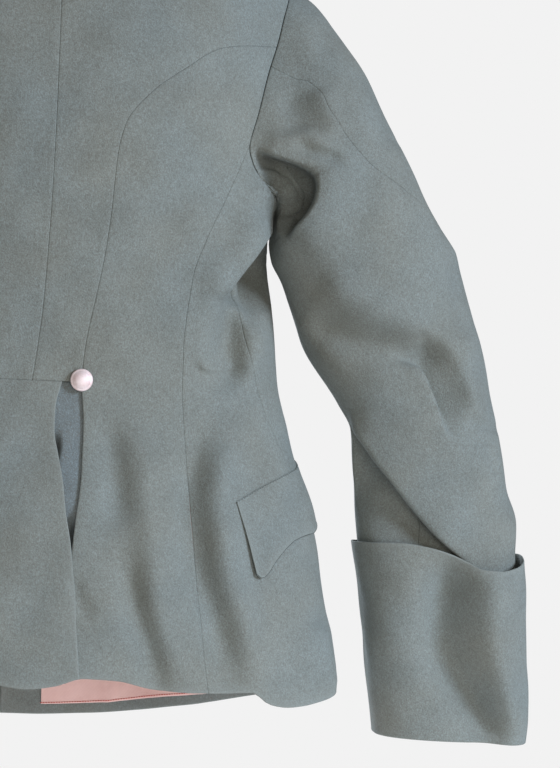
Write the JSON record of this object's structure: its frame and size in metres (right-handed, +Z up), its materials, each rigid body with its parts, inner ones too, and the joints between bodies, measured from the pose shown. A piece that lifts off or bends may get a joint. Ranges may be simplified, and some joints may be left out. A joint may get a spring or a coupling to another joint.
{
  "type": "officer tunic",
  "caption": "Single-breasted grey-green wool officer tunic with stand collar, turned-back cuffs, vented back skirt and scalloped pocket flaps, filled out hollow as if worn.",
  "frame": {"origin": "the middle of the neck opening at the height of the nape, where the wearer's shoulders hold the garment up", "axes": "+Z up, the front faces -Y, the back +Y, the wearer's right is -X"},
  "size_m": [0.892, 0.2867, 0.7548],
  "materials": {
    "wool": "milled grey-green wool with a faint heather of light and dark fibres, matte and slightly fuzzy",
    "lining": "faded pink lining cloth with a soft sheen",
    "button_metal": "matte, worn, faintly pinkish silvered dome with a fine grain"
  },
  "bodies": {
    "root": {"back_centre_right": "wool", "back_centre_left": "wool", "back_side_right": "wool", "back_side_left": "wool", "side_right": "wool", "side_left": "wool", "front_right": "wool", "front_left": "wool", "vent_underlay_right": "wool", "vent_underlay_left": "wool", "top_sleeve_right": "wool", "top_sleeve_left": "wool", "under_sleeve_right": "wool", "under_sleeve_left": "wool", "cuff_right": "wool", "cuff_left": "wool", "pocket_flap_right": "wool", "pocket_flap_left": "wool", "tail": "wool", "collar": "wool", "front_lining_right": "lining", "front_lining_left": "lining", "side_lining_right": "lining", "side_lining_left": "lining", "waist_button_right": "button_metal", "waist_button_left": "button_metal", "front_button_1": "button_metal", "front_button_2": "button_metal", "front_button_3": "button_metal", "front_button_4": "button_metal", "front_button_5": "button_metal", "front_button_6": "button_metal", "front_button_7": "button_metal", "front_button_8": "button_metal"}
  },
  "joints": []
}
